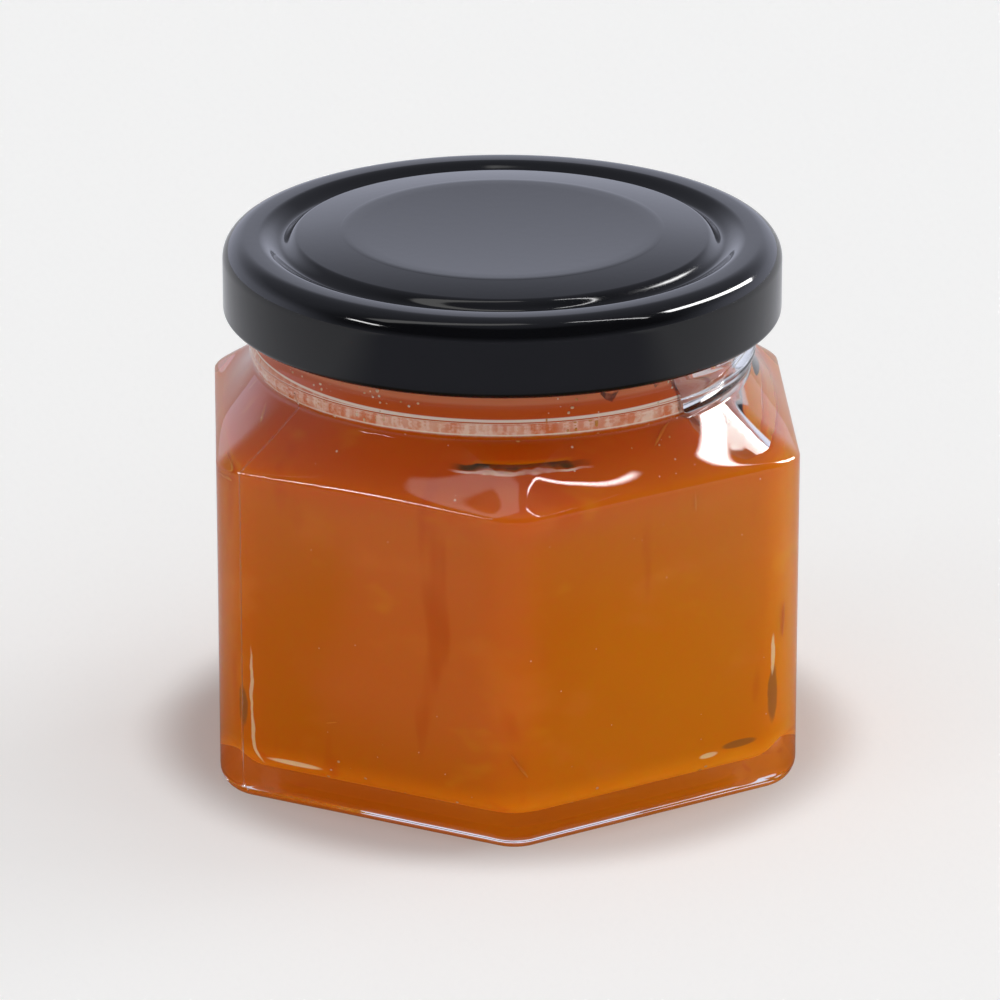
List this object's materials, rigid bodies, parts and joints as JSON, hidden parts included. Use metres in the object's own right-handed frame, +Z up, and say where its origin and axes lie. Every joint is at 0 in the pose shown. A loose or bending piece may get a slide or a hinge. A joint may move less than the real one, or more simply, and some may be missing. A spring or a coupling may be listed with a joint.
{
  "type": "jar of jam",
  "caption": "Small hexagonal glass jar of orange jam with rounded shoulders, a round neck and a black pressed metal lid.",
  "frame": {"origin": "middle of the jar's footprint, at the height of the surface that it stands on", "axes": "+Z up through the middle of the lid; one corner of the hexagon points along -Y and two flat sides face -X and +X"},
  "size_m": [0.062, 0.07, 0.058],
  "materials": {
    "jar_glass": "clear moulded glass, glossy",
    "orange_jam": "translucent amber orange jam",
    "black_lacquer": "glossy black lacquer on pressed tinplate"
  },
  "bodies": {
    "root": {"glass_jar": "jar_glass", "jam": "orange_jam", "lid": "black_lacquer"}
  },
  "joints": []
}
